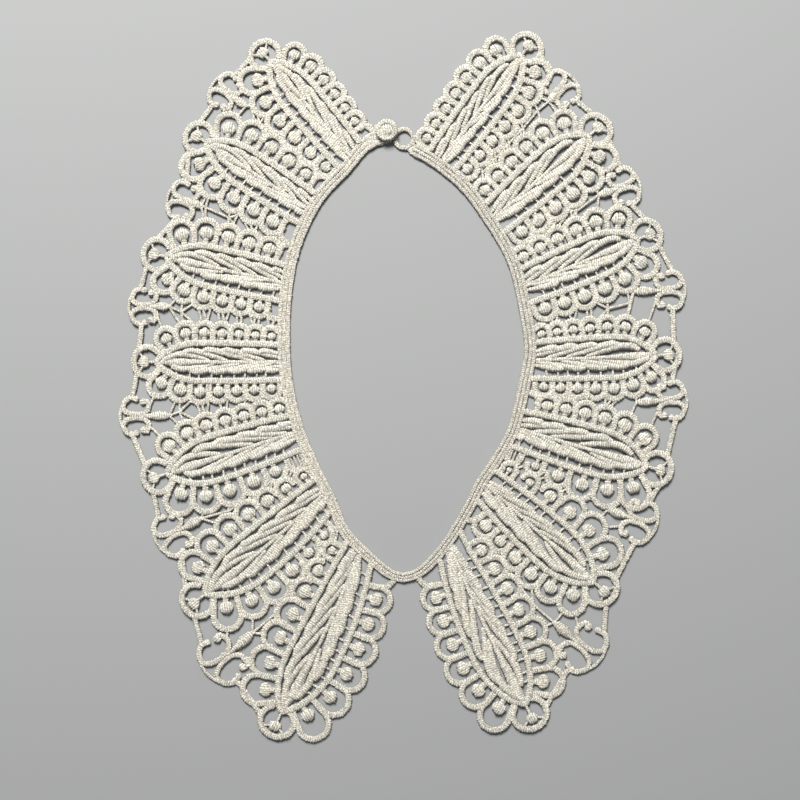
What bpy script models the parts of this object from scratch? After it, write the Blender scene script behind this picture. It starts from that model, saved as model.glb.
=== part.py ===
"""Detachable guipure lace collar, lying flat and open on a table.

Two lace halves hang from one narrow neckband that runs round the front of
the neck.  Each half is a wall of lace with a scalloped edge: seven pointed
leaf motifs stand out from the band like the ribs of a fan, each ringed by
two rows of small loops and ending in a larger tip loop, and between every
two leaves the edge carries a pair of volutes.  The band closes at the back
of the neck with an embroidered button on its left end and a loop on its
right end.

Frame: +Z up, the collar lies on z = 0, the back of the neck points to +Y
and the wearer's left half as seen from above is at -X.  Metres; the tables
below are in millimetres and are scaled once, when the meshes are made.
"""

import math

import bmesh
import bpy
import numpy as np
from mathutils import Vector
from mathutils.geometry import delaunay_2d_cdt

# ---------------------------------------------------------------- sizes, mm
MM = 0.001
LACE_T = 1.3            # thickness of the lace walls
SEAM_GAP = 0.3          # gap between pieces that are sewn together
BAND_T = 1.8            # thickness of the neckband
BAND_CROWN = 0.25       # how far the band's rounded edges drop
LEAF_T = 0.9            # height of a leaf above its own underside
LEAF_EDGE_T = 0.45      # height of a leaf at its rim
CORD_W = 2.7            # width of the satin-stitched cords
RING_R = 0.52           # centreline radius of a ring, times its spacing
RING_REACH = 0.56       # ring centre outward from the leaf, times its spacing
RING_SHRINK = 0.965     # each ring's spacing, against the one before
FIRST_RING = {"back": 4.0, "front": 1.2}    # from the tip, along the leaf
LAST_RING = 2.4         # from the root, along the leaf
LEAF_PEAK = 0.36        # where a leaf is widest, 0 at its tip, 1 at its root
TIP_OUT = 4.2           # tip loop centre, beyond the leaf's tip
TIP_R = 5.6             # centreline radius of a tip loop
VOLUTE_SPREAD = 4.5     # volute eye, sideways from the volute's axis
VOLUTE_DEPTH = 6.8      # volute eye, inward from the collar's edge
VOLUTE_R = 3.6          # centreline radius of a volute
BUTTON_R = 4.7
BUTTON_H = 2.2
LOOP_R = 3.9            # centreline radius of the button loop
LOOP_W = 2.1
LOOP_T = 1.5
OUTLINE_PITCH = 2.1     # spacing of the points along the scalloped edge
FILL_PITCH = 11.0       # spacing of the points inside a lace wall
FIELD_STEP = 1.0        # grid on which the lace's edge is found

# ------------------------------------------------------------------ tables
# Inner edge of the neckband, from the back opening round to the front.
# x, y: a point on the inner edge; width: the band there.
NECK_COLUMNS = ("x", "y", "width")
NECK_LEFT = (
    (-5.2, 102.7, 6.6),
    (-9.6, 101.6, 6.8),
    (-13.8, 99.5, 6.2),
    (-17.5, 96.3, 5.5),
    (-22.9, 89.6, 5.2),
    (-32.3, 79.8, 5.2),
    (-38.7, 69.3, 5.2),
    (-43.7, 56.7, 5.2),
    (-46.7, 42.4, 5.3),
    (-47.9, 23.9, 5.3),
    (-47.0, 4.2, 5.2),
    (-42.8, -15.1, 5.0),
    (-35.7, -32.8, 4.8),
    (-28.8, -46.6, 4.6),
    (-23.2, -59.6, 4.5),
    (-13.9, -69.4, 4.4),
    (-5.4, -76.6, 4.2),
    (0.0, -78.4, 4.0),
)
NECK_RIGHT = (
    (2.5, 97.8, 5.6),
    (4.4, 96.5, 5.4),
    (8.6, 94.4, 5.1),
    (15.1, 89.9, 5.2),
    (21.8, 84.4, 5.2),
    (27.7, 77.7, 5.2),
    (33.2, 69.7, 5.2),
    (38.2, 62.0, 5.2),
    (42.4, 54.2, 5.2),
    (45.6, 45.0, 5.3),
    (48.9, 29.0, 5.3),
    (50.6, 15.8, 5.3),
    (48.6, 3.2, 5.2),
    (46.6, -6.5, 5.0),
    (43.4, -18.0, 5.0),
    (36.9, -29.8, 4.8),
    (30.4, -39.4, 4.8),
    (25.8, -49.0, 4.6),
    (18.8, -61.0, 4.5),
    (11.8, -70.4, 4.4),
    (5.4, -76.4, 4.2),
    (0.0, -78.4, 4.0),
)

# Leaves, back to front.  seat: middle of the root, on the band's outer
# edge; tip: point of the leaf; half: half width where it is widest, root:
# half width at the root; bow: how far the midrib curves to the front.
# back, front: number of rings along the two sides.
LEAF_COLUMNS = ("seat_x", "seat_y", "tip_x", "tip_y", "half", "root", "bow",
                "back", "front")
LEAVES_LEFT = (
    (-23.1, 97.4, -55.9, 136.1, 7.8, 6.8, 0.0, 7, 6),
    (-38.6, 73.4, -82.7, 102.3, 7.8, 7.0, 0.0, 6, 6),
    (-48.8, 42.9, -99.5, 54.4, 8.3, 7.5, 0.0, 6, 7),
    (-53.3, 10.1, -103.7, 10.3, 8.0, 7.4, 0.0, 7, 7),
    (-46.6, -19.7, -99.1, -36.5, 9.3, 7.6, 0.0, 7, 6),
    (-33.2, -44.5, -83.2, -86.9, 9.8, 7.0, 1.4, 7, 7),
    (-19.7, -71.4, -51.2, -136.4, 10.4, 6.6, 1.9, 7, 7),
)
LEAVES_RIGHT = (
    (16.7, 96.0, 49.1, 138.8, 7.9, 6.8, 0.0, 7, 7),
    (39.9, 72.2, 77.3, 105.0, 8.6, 7.2, 0.0, 6, 6),
    (52.5, 42.8, 97.9, 61.7, 8.6, 7.4, 0.0, 6, 6),
    (55.9, 10.9, 105.4, 13.0, 8.6, 7.6, 0.0, 7, 7),
    (47.0, -17.6, 101.6, -33.4, 9.5, 7.6, 0.0, 7, 6),
    (34.9, -41.6, 79.4, -81.9, 9.8, 7.0, 0.0, 6, 7),
    (21.4, -71.4, 50.8, -133.1, 10.6, 6.6, 1.2, 7, 7),
)

# Volute pairs in the bays between the leaves, back to front.  edge: the
# outermost point; bud: the inner end of the bud; size: scale of the motif.
VOLUTE_COLUMNS = ("edge_x", "edge_y", "bud_x", "bud_y", "size")
VOLUTES_LEFT = (
    (-80.6, 128.1, -65.9, 117.2, 1.00),
    (-100.0, 80.2, -84.4, 75.6, 1.05),
    (-116.3, 33.6, -97.9, 33.6, 1.00),
    (-120.1, -12.6, -97.9, -12.2, 1.05),
    (-104.6, -66.4, -84.4, -55.0, 1.20),
    (-83.6, -121.4, -63.0, -102.9, 1.40),
)
VOLUTES_RIGHT = (
    (71.3, 130.4, 60.3, 119.3, 1.05),
    (99.5, 86.1, 81.1, 80.2, 1.05),
    (118.9, 40.7, 95.8, 39.9, 1.05),
    (119.7, -5.5, 97.0, -6.7, 1.05),
    (106.7, -59.7, 84.9, -51.3, 1.20),
    (82.7, -116.3, 62.6, -98.7, 1.40),
)

BUTTON_AT = (-7.3, 107.3)
LOOP_AT = (0.0, 104.2)
LEAF_STATIONS = (0.02, 0.08, 0.17, 0.3, 0.45, 0.62, 0.81, 1.0)



# --------------------------------------------------------------- 2-D tools
def rows(table, columns):
    return [dict(zip(columns, row)) for row in table]


def smooth(points, pitch):
    """Catmull-Rom curve through points, resampled at an even pitch."""
    p = np.asarray(points, float)
    p = np.vstack([2 * p[0] - p[1], p, 2 * p[-1] - p[-2]])
    dense = []
    for a, b, c, d in zip(p, p[1:], p[2:], p[3:]):
        for t in np.linspace(0.0, 1.0, 24, endpoint=False):
            dense.append(0.5 * ((2 * b) + (c - a) * t
                                + (2 * a - 5 * b + 4 * c - d) * t ** 2
                                + (3 * b - a - 3 * c + d) * t ** 3))
    dense.append(p[-2])
    return resample(np.array(dense), pitch)


def resample(line, pitch, closed=False):
    line = np.asarray(line, float)
    if closed:
        line = np.vstack([line, line[:1]])
    seg = np.hypot(*np.diff(line[:, :2], axis=0).T)
    run = np.concatenate([[0.0], np.cumsum(seg)])
    count = max(3, int(round(run[-1] / pitch)))
    at = np.linspace(0.0, run[-1], count + 1)
    out = np.stack([np.interp(at, run, col) for col in line.T], axis=1)
    return out[:-1] if closed else out


def normals(line):
    """Unit normals of an open plane curve, to the left of its direction."""
    t = np.gradient(line[:, :2], axis=0)
    t /= np.hypot(t[:, 0], t[:, 1])[:, None]
    return np.stack([-t[:, 1], t[:, 0]], axis=1)


def disc_field(x, y, centre, radius):
    return np.hypot(x - centre[0], y - centre[1]) - radius


def bar_field(x, y, a, b, radius):
    """Signed distance to a round-ended bar from a to b."""
    ax, ay = a
    bx, by = b
    dx, dy = bx - ax, by - ay
    t = np.clip(((x - ax) * dx + (y - ay) * dy) / (dx * dx + dy * dy), 0, 1)
    return np.hypot(x - ax - t * dx, y - ay - t * dy) - radius


def polygon_field(x, y, corners):
    """Signed distance to a closed polygon, negative inside."""
    corners = np.asarray(corners, float)
    near = np.full(x.shape, 1e9)
    inside = np.zeros(x.shape, bool)
    for (ax, ay), (bx, by) in zip(corners, np.roll(corners, -1, axis=0)):
        near = np.minimum(near, bar_field(x, y, (ax, ay), (bx, by), 0.0))
        if ay != by:
            cross = (ay > y) != (by > y)
            inside ^= cross & (x < (bx - ax) * (y - ay) / (by - ay) + ax)
    return np.where(inside, -near, near)


def contour(field, xs, ys):
    """Closed loops where field is zero, by marching squares."""
    def crossing(p, q):
        (i, j), (k, m) = p, q
        t = field[j, i] / (field[j, i] - field[m, k])
        return (xs[i] + t * (xs[k] - xs[i]), ys[j] + t * (ys[m] - ys[j]))

    links = {}
    for j in range(len(ys) - 1):
        for i in range(len(xs) - 1):
            ring = [(i, j), (i + 1, j), (i + 1, j + 1), (i, j + 1)]
            sign = [field[b, a] < 0 for a, b in ring]
            if all(sign) or not any(sign):
                continue
            enter, leave = [], []
            for n in range(4):
                p, q = ring[n], ring[(n + 1) % 4]
                if sign[n] and not sign[(n + 1) % 4]:
                    leave.append((p, q))
                elif sign[(n + 1) % 4] and not sign[n]:
                    enter.append((p, q))
            for a, b in zip(leave, enter):
                links[tuple(sorted(a))] = tuple(sorted(b))
    loops = []
    while links:
        start, nxt = next(iter(links.items()))
        loop, edge = [], start
        while edge in links:
            loop.append(crossing(*edge))
            edge = links.pop(edge)
        loops.append(np.array(loop))
    return loops


# ------------------------------------------------------------- lace design
def neck_line(table):
    """Inner edge and width of the band at a 4 mm pitch, back to front."""
    return smooth(table, 4.0)


def seam_line(table, side):
    """The band's outer edge; side is -1 for the left half, +1 for the right."""
    line = neck_line(table)
    out = normals(line) * side
    return line[:, :2] + out * line[:, 2:3]


def leaf_frame(leaf):
    seat = np.array([leaf["seat_x"], leaf["seat_y"]])
    tip = np.array([leaf["tip_x"], leaf["tip_y"]])
    length = float(np.hypot(*(seat - tip)))
    along = (seat - tip) / length
    across = np.array([-along[1], along[0]])
    return tip, along, across, length


def leaf_half_width(leaf, s):
    """Half width of the leaf's outline at s, 0 at its tip and 1 at its root."""
    if s <= LEAF_PEAK:
        return leaf["half"] * math.sin(0.5 * math.pi * (s / LEAF_PEAK) ** 0.72)
    t = (s - LEAF_PEAK) / (1.0 - LEAF_PEAK)
    return leaf["half"] + (leaf["root"] - leaf["half"]) * t * t


def leaf_bow(leaf, s, side):
    """Sideways shift of the midrib at s, along the leaf's across vector."""
    return side * leaf["bow"] * 4.0 * s * (1.0 - s)


def ring_row(leaf, side, edge):
    """Centres and radii of the rings along one edge of a leaf ("back" or
    "front"), from its tip to its root."""
    tip, along, across, length = leaf_frame(leaf)
    hand = side if edge == "front" else -side
    count = leaf[edge]
    first = FIRST_RING[edge]
    steps = RING_SHRINK ** np.arange(count - 1)
    gaps = steps / steps.sum() * (length - LAST_RING - first)
    stations = np.concatenate([[first], first + np.cumsum(gaps)])
    found = []
    for n, station in enumerate(stations):
        gap = gaps[max(n - 1, 0)]
        s = station / length
        half = leaf_half_width(leaf, s) if n else 0.62 * leaf["half"]
        off = hand * (half + RING_REACH * gap) + leaf_bow(leaf, s, side)
        found.append((tip + along * station + across * off, RING_R * gap))
    return found


def volute_frame(volute):
    edge = np.array([volute["edge_x"], volute["edge_y"]])
    bud = np.array([volute["bud_x"], volute["bud_y"]])
    inward = (bud - edge) / np.hypot(*(bud - edge))
    return edge, bud, inward, np.array([-inward[1], inward[0]])


def band_polygon(neck_table, side):
    """The band and everything on its neck side, for one half."""
    seam = seam_line(neck_table, side)
    deep = side * -12.0
    return ([tuple(p) for p in seam]
            + [(deep, seam[-1][1]), (deep, seam[0][1])])


def lace_edge(leaves, volutes, side):
    """What the scalloped edge passes round: discs, bars, and the hub points
    that join them, from the back end of the half to its front end."""
    discs, bars, hub = [], [], []
    for n, leaf in enumerate(leaves):
        tip, along, across, length = leaf_frame(leaf)
        swell = (leaf["half"] / 8.0) ** 0.5
        eye = tip - along * TIP_OUT * swell
        discs.append((eye, TIP_R * swell + CORD_W / 2))
        if hub:
            bars.append((hub[-1], eye))
        hub.append(eye)
        if n == len(volutes):
            break
        edge, bud, inward, aside = volute_frame(volutes[n])
        scale = volutes[n]["size"]
        deep = edge + inward * VOLUTE_DEPTH * scale
        spread = aside * side * VOLUTE_SPREAD * scale
        eyes = [deep + spread, deep - spread]
        if np.hypot(*(eyes[1] - eye)) < np.hypot(*(eyes[0] - eye)):
            eyes.reverse()
        bars.append((eye, eyes[0]))
        hub += eyes
        discs += [(c, VOLUTE_R * scale + CORD_W / 2) for c in eyes]
        discs.append((edge + inward * 3.4 * scale, 3.4 * scale))
    return discs, bars, hub


def lace_outline(neck_table, leaves, volutes, side, lead):
    """Outline of one lace half as a closed loop.  lead is the length of
    bare band between the back opening and the lace."""
    seam = seam_line(neck_table, side)
    run = np.concatenate([[0.0], np.cumsum(np.hypot(*np.diff(seam, axis=0).T))])
    sewn = seam[run >= lead]
    discs, bars, hub = lace_edge(leaves, volutes, side)
    ends = (ring_row(leaves[0], side, "back"),
            ring_row(leaves[-1], side, "front"))
    for row in ends:
        discs += [(c, radius + CORD_W / 2) for c, radius in row]
    back, front = [[c for c, _ in row] for row in ends]
    polygon = [tuple(p) for p in
               back[::-1] + hub + front + list(sewn[::-1])]

    pts = np.array(polygon)
    lo, hi = pts.min(axis=0) - 12.0, pts.max(axis=0) + 12.0
    xs = np.arange(lo[0], hi[0], FIELD_STEP)
    ys = np.arange(lo[1], hi[1], FIELD_STEP)
    x, y = np.meshgrid(xs, ys)
    field = polygon_field(x, y, polygon)
    for centre, radius in discs:
        field = np.minimum(field, disc_field(x, y, centre, radius))
    for a, b in bars:
        field = np.minimum(field, bar_field(x, y, a, b, CORD_W))
    # clear of the band, and of the loop that lies beside the right half
    neck = polygon_field(x, y, band_polygon(neck_table, side))
    loop = disc_field(x, y, LOOP_AT, LOOP_R + LOOP_W / 2)
    field = np.maximum(field, SEAM_GAP - np.minimum(neck, loop))
    return max(contour(field, xs, ys), key=len)


# ---------------------------------------------------------------- 3-D tools
def make_material(name, colour, roughness):
    mat = bpy.data.materials.new(name)
    mat.use_nodes = True
    bsdf = mat.node_tree.nodes["Principled BSDF"]
    bsdf.inputs["Base Color"].default_value = (*colour, 1.0)
    bsdf.inputs["Roughness"].default_value = roughness
    bsdf.inputs["Metallic"].default_value = 0.0
    return mat


def make_object(name, bm, material):
    """A named object from a bmesh whose coordinates are in millimetres."""
    bmesh.ops.recalc_face_normals(bm, faces=bm.faces)
    if bm.calc_volume(signed=True) < 0:
        bmesh.ops.reverse_faces(bm, faces=bm.faces)
    bmesh.ops.scale(bm, vec=(MM, MM, MM), verts=bm.verts)
    mesh = bpy.data.meshes.new(name)
    bm.to_mesh(mesh)
    bm.free()
    mesh.materials.append(material)
    mesh.shade_smooth()
    mesh.set_sharp_from_angle(angle=math.radians(35.0))
    obj = bpy.data.objects.new(name, mesh)
    bpy.context.scene.collection.objects.link(obj)
    return obj


def loft(sections, closed=False):
    """A tube through rings of equal point count; open ends are capped."""
    bm = bmesh.new()
    rings = [[bm.verts.new(p) for p in ring] for ring in sections]
    pairs = list(zip(rings, rings[1:]))
    if closed:
        pairs.append((rings[-1], rings[0]))
    for a, b in pairs:
        for k in range(len(a)):
            m = (k + 1) % len(a)
            bm.faces.new((a[k], a[m], b[m], b[k]))
    if not closed:
        bm.faces.new(rings[0])
        bm.faces.new(rings[-1][::-1])
    bmesh.ops.triangulate(bm, faces=[f for f in bm.faces if len(f.verts) > 4])
    return bm


def plate(outline, bottom, top):
    """A flat wall over a plane outline."""
    edge = resample(outline, OUTLINE_PITCH, closed=True)
    count = len(edge)
    lo, hi = edge.min(axis=0), edge.max(axis=0)
    inner = []
    rows_up = int((hi[1] - lo[1]) / (FILL_PITCH * 0.866)) + 1
    for j in range(rows_up):
        y = lo[1] + (j + 0.5) * FILL_PITCH * 0.866
        for x in np.arange(lo[0] + (j % 2) * FILL_PITCH / 2, hi[0],
                           FILL_PITCH):
            inner.append((x, y))
    inner = np.array(inner)
    deep = polygon_field(inner[:, 0], inner[:, 1], edge) < -0.42 * FILL_PITCH
    points = [Vector(p) for p in edge] + [Vector(p) for p in inner[deep]]
    verts, _, faces, *_ = delaunay_2d_cdt(
        points, [], [list(range(count))], 1, 1e-5)
    bm = bmesh.new()
    low = [bm.verts.new((p.x, p.y, bottom)) for p in verts]
    high = [bm.verts.new((p.x, p.y, top)) for p in verts]
    for f in faces:
        bm.faces.new([high[i] for i in f])
        bm.faces.new([low[i] for i in reversed(f)])
    for k in range(count):
        m = (k + 1) % count
        bm.faces.new((low[k], low[m], high[m], high[k]))
    return bm


# ------------------------------------------------------------------- pieces
def build_band(material):
    """One strip: left half back to front, then right half front to back."""
    sections = []
    for table, side in ((NECK_LEFT, -1), (NECK_RIGHT, 1)):
        line = neck_line(table)
        out = normals(line) * side
        out[-1] = (0.0, -1.0)       # both halves share the front section
        part = []
        for (x, y, width), n in zip(line, out):
            ring = []
            for u, z in ((0.0, 0.0), (1.0, 0.0), (1.0, BAND_T - BAND_CROWN),
                         (0.78, BAND_T), (0.22, BAND_T),
                         (0.0, BAND_T - BAND_CROWN)):
                ring.append((x + n[0] * width * u, y + n[1] * width * u, z))
            part.append(ring)
        sections += part if side < 0 else part[-2::-1]
    return make_object("neckband", loft(sections), material)


def build_leaf(name, leaf, side, neck, material):
    """A raised pointed oval on the lace, its root cut to the band's edge."""
    tip, along, across, length = leaf_frame(leaf)
    base = LACE_T + SEAM_GAP
    lanes = (-1.0, -0.55, 0.0, 0.55, 1.0)
    tall = (LEAF_EDGE_T, LEAF_T * 0.86, LEAF_T, LEAF_T * 0.86, LEAF_EDGE_T)
    reach = []
    for f in lanes:
        lo, hi = length * 0.6, length * 1.4
        for _ in range(30):
            mid = (lo + hi) / 2
            p = tip + along * mid + across * f * leaf["root"]
            clear = polygon_field(p[:1], p[1:], neck)[0]
            lo, hi = (mid, hi) if clear > 2 * SEAM_GAP else (lo, mid)
        reach.append(lo)
    sections = []
    for s in LEAF_STATIONS:
        half = leaf_half_width(leaf, s)
        bow = leaf_bow(leaf, s, side)
        top = []
        for f, z, run in zip(lanes, tall, reach):
            q = tip + along * s * run + across * (f * half + bow)
            low_tip = min(1.0, 0.55 + 3.0 * s)
            top.append((q[0], q[1], base + z * low_tip))
        ring = [(top[0][0], top[0][1], base)] + top
        ring.append((top[-1][0], top[-1][1], base))
        sections.append(ring)
    return make_object(name, loft(sections), material)


def build_button(material):
    """A low padded dome on the band's left end."""
    base = BAND_T + SEAM_GAP
    profile = ((BUTTON_R * 0.86, 0.0), (BUTTON_R, BUTTON_H * 0.35),
               (BUTTON_R * 0.93, BUTTON_H * 0.72),
               (BUTTON_R * 0.62, BUTTON_H * 0.95), (BUTTON_R * 0.3, BUTTON_H))
    sections = []
    for r, z in profile:
        sections.append([(BUTTON_AT[0] + r * math.cos(a),
                          BUTTON_AT[1] + r * math.sin(a), base + z)
                         for a in np.linspace(0, 2 * math.pi, 20,
                                              endpoint=False)])
    return make_object("button", loft(sections), material)


def build_loop(material):
    """A round stitched ring lying flat at the band's right end."""
    sections = []
    for a in np.linspace(0.0, 2 * math.pi, 24, endpoint=False):
        ring = []
        for u, z in ((-0.5, 0.0), (0.5, 0.0), (0.5, 0.62 * LOOP_T),
                     (0.24, LOOP_T), (-0.24, LOOP_T), (-0.5, 0.62 * LOOP_T)):
            r = LOOP_R + u * LOOP_W
            ring.append((LOOP_AT[0] + r * math.cos(a),
                         LOOP_AT[1] + r * math.sin(a), z))
        sections.append(ring)
    return make_object("button_loop", loft(sections, closed=True), material)


def centre_on_table(objects):
    """Move everything so that the origin is the bottom centre of the box."""
    pts = np.array([tuple(v.co) for o in objects for v in o.data.vertices])
    lo, hi = pts.min(axis=0), pts.max(axis=0)
    shift = Vector((-(lo[0] + hi[0]) / 2, -(lo[1] + hi[1]) / 2, -lo[2]))
    for o in objects:
        for v in o.data.vertices:
            v.co += shift


def main():
    for obj in list(bpy.data.objects):
        bpy.data.objects.remove(obj)
    lace = make_material("lace_cotton", (0.70, 0.66, 0.56), 0.85)
    relief = make_material("leaf_cotton", (0.76, 0.71, 0.61), 0.8)
    band = make_material("band_cotton", (0.68, 0.64, 0.54), 0.85)

    built = [build_band(band)]
    for word, side, neck, leaf_table, volute_table, lead in (
            ("left", -1, NECK_LEFT, LEAVES_LEFT, VOLUTES_LEFT, 9.0),
            ("right", 1, NECK_RIGHT, LEAVES_RIGHT, VOLUTES_RIGHT, 3.0)):
        leaves = rows(leaf_table, LEAF_COLUMNS)
        volutes = rows(volute_table, VOLUTE_COLUMNS)
        outline = lace_outline(neck, leaves, volutes, side, lead)
        built.append(make_object("lace_" + word,
                                 plate(outline, 0.0, LACE_T), lace))
        edge = band_polygon(neck, side)
        for n, leaf in enumerate(leaves, start=1):
            built.append(build_leaf("leaf_%s_%d" % (word, n), leaf, side,
                                    edge, relief))
    built.append(build_button(relief))
    built.append(build_loop(band))
    centre_on_table(built)


main()
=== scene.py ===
"""Looks of the guipure lace collar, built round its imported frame.

Every visible thing is yarn: satin-stitched cords, padded berries, buds and
leaf pods, and thin brides between them.  Each is a closed tube along a plane
curve, with one ridge for each stitch.  The tables and the functions above
"yarn" are the design's own, in millimetres, and are repeated here because
this script reads nothing but the frame.
"""

import math

import bpy
import numpy as np
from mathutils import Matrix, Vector


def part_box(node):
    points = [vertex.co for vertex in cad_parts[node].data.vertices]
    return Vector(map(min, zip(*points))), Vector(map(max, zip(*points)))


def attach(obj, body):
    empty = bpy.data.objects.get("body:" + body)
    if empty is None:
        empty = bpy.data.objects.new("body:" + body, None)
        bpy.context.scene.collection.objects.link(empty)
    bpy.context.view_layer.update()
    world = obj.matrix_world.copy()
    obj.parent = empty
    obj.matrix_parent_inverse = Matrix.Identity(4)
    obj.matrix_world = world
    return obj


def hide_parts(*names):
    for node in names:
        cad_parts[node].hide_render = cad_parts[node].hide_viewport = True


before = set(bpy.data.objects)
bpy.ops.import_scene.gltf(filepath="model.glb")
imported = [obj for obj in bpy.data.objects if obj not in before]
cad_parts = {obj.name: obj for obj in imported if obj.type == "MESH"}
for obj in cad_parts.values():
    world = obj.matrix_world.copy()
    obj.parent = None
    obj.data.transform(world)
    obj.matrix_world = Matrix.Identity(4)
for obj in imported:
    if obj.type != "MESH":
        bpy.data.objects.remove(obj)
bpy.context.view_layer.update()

# ---------------------------------------------------------------- sizes, mm
MM = 0.001
LACE_T = 1.3            # thickness of the lace ground
BAND_T = 1.8            # thickness of the neckband
RING_R = 0.52           # centreline radius of a ring, times its spacing
RING_REACH = 0.56       # ring centre outward from the leaf, times its spacing
RING_SHRINK = 0.965     # each ring's spacing, against the one before
FIRST_RING = {"back": 4.0, "front": 1.2}    # from the tip, along the leaf
LAST_RING = 2.4         # from the root, along the leaf
LEAF_PEAK = 0.36        # where a leaf is widest, 0 at its tip, 1 at its root
TIP_OUT = 4.2           # tip loop centre, beyond the leaf's tip
TIP_R = 5.6             # centreline radius of a tip loop
LOOP_R = 3.9            # centreline radius of the button loop
LOOP_W = 2.1
LOOP_T = 1.5
BUTTON_R = 4.7

STITCH = 0.96           # pitch of the satin stitches along a cord
OUTLINE_W = 3.0         # cord round a leaf
RING_W = 2.9            # cord of a ring
SCROLL_W = 2.5          # cord of a volute
LINK_W = 2.3            # cord of the outer edge between volute and tip loop
BRIDE_W = 1.1
SEAM_GAP = 0.3
BRIDE_T = 0.6
# of a leaf's half width:
POD_W = 0.36            # widest part of its pods
POD_LENGTH = 2.5
POD_PITCH = 1.02
GUTTER = 0.16           # open channel inside one edge
FLOOR_TONE = (0.232, 0.238, 0.242)   # a plain pale floor

# ------------------------------------------------------------------ tables
# Inner edge of the neckband, from the back opening round to the front.
# x, y: a point on the inner edge; width: the band there.
NECK_COLUMNS = ("x", "y", "width")
NECK_LEFT = (
    (-5.2, 102.7, 6.6),
    (-9.6, 101.6, 6.8),
    (-13.8, 99.5, 6.2),
    (-17.5, 96.3, 5.5),
    (-22.9, 89.6, 5.2),
    (-32.3, 79.8, 5.2),
    (-38.7, 69.3, 5.2),
    (-43.7, 56.7, 5.2),
    (-46.7, 42.4, 5.3),
    (-47.9, 23.9, 5.3),
    (-47.0, 4.2, 5.2),
    (-42.8, -15.1, 5.0),
    (-35.7, -32.8, 4.8),
    (-28.8, -46.6, 4.6),
    (-23.2, -59.6, 4.5),
    (-13.9, -69.4, 4.4),
    (-5.4, -76.6, 4.2),
    (0.0, -78.4, 4.0),
)
NECK_RIGHT = (
    (2.5, 97.8, 5.6),
    (4.4, 96.5, 5.4),
    (8.6, 94.4, 5.1),
    (15.1, 89.9, 5.2),
    (21.8, 84.4, 5.2),
    (27.7, 77.7, 5.2),
    (33.2, 69.7, 5.2),
    (38.2, 62.0, 5.2),
    (42.4, 54.2, 5.2),
    (45.6, 45.0, 5.3),
    (48.9, 29.0, 5.3),
    (50.6, 15.8, 5.3),
    (48.6, 3.2, 5.2),
    (46.6, -6.5, 5.0),
    (43.4, -18.0, 5.0),
    (36.9, -29.8, 4.8),
    (30.4, -39.4, 4.8),
    (25.8, -49.0, 4.6),
    (18.8, -61.0, 4.5),
    (11.8, -70.4, 4.4),
    (5.4, -76.4, 4.2),
    (0.0, -78.4, 4.0),
)

# Leaves, back to front.  seat: middle of the root, on the band's outer
# edge; tip: point of the leaf; half: half width where it is widest, root:
# half width at the root; bow: how far the midrib curves to the front.
# back, front: number of rings along the two sides.
LEAF_COLUMNS = ("seat_x", "seat_y", "tip_x", "tip_y", "half", "root", "bow",
                "back", "front")
LEAVES_LEFT = (
    (-23.1, 97.4, -55.9, 136.1, 7.8, 6.8, 0.0, 7, 6),
    (-38.6, 73.4, -82.7, 102.3, 7.8, 7.0, 0.0, 6, 6),
    (-48.8, 42.9, -99.5, 54.4, 8.3, 7.5, 0.0, 6, 7),
    (-53.3, 10.1, -103.7, 10.3, 8.0, 7.4, 0.0, 7, 7),
    (-46.6, -19.7, -99.1, -36.5, 9.3, 7.6, 0.0, 7, 6),
    (-33.2, -44.5, -83.2, -86.9, 9.8, 7.0, 1.4, 7, 7),
    (-19.7, -71.4, -51.2, -136.4, 10.4, 6.6, 1.9, 7, 7),
)
LEAVES_RIGHT = (
    (16.7, 96.0, 49.1, 138.8, 7.9, 6.8, 0.0, 7, 7),
    (39.9, 72.2, 77.3, 105.0, 8.6, 7.2, 0.0, 6, 6),
    (52.5, 42.8, 97.9, 61.7, 8.6, 7.4, 0.0, 6, 6),
    (55.9, 10.9, 105.4, 13.0, 8.6, 7.6, 0.0, 7, 7),
    (47.0, -17.6, 101.6, -33.4, 9.5, 7.6, 0.0, 7, 6),
    (34.9, -41.6, 79.4, -81.9, 9.8, 7.0, 0.0, 6, 7),
    (21.4, -71.4, 50.8, -133.1, 10.6, 6.6, 1.2, 7, 7),
)

# Volute pairs in the bays between the leaves, back to front.  edge: the
# outermost point; bud: the inner end of the bud; size: scale of the motif.
VOLUTE_COLUMNS = ("edge_x", "edge_y", "bud_x", "bud_y", "size")
VOLUTES_LEFT = (
    (-80.6, 128.1, -65.9, 117.2, 1.00),
    (-100.0, 80.2, -84.4, 75.6, 1.05),
    (-116.3, 33.6, -97.9, 33.6, 1.00),
    (-120.1, -12.6, -97.9, -12.2, 1.05),
    (-104.6, -66.4, -84.4, -55.0, 1.20),
    (-83.6, -121.4, -63.0, -102.9, 1.40),
)
VOLUTES_RIGHT = (
    (71.3, 130.4, 60.3, 119.3, 1.05),
    (99.5, 86.1, 81.1, 80.2, 1.05),
    (118.9, 40.7, 95.8, 39.9, 1.05),
    (119.7, -5.5, 97.0, -6.7, 1.05),
    (106.7, -59.7, 84.9, -51.3, 1.20),
    (82.7, -116.3, 62.6, -98.7, 1.40),
)

BUTTON_AT = (-7.3, 107.3)
LOOP_AT = (0.0, 104.2)
LEAF_STATIONS = (0.02, 0.08, 0.17, 0.3, 0.45, 0.62, 0.81, 1.0)



# --------------------------------------------------------------- 2-D tools
def rows(table, columns):
    return [dict(zip(columns, row)) for row in table]


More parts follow.
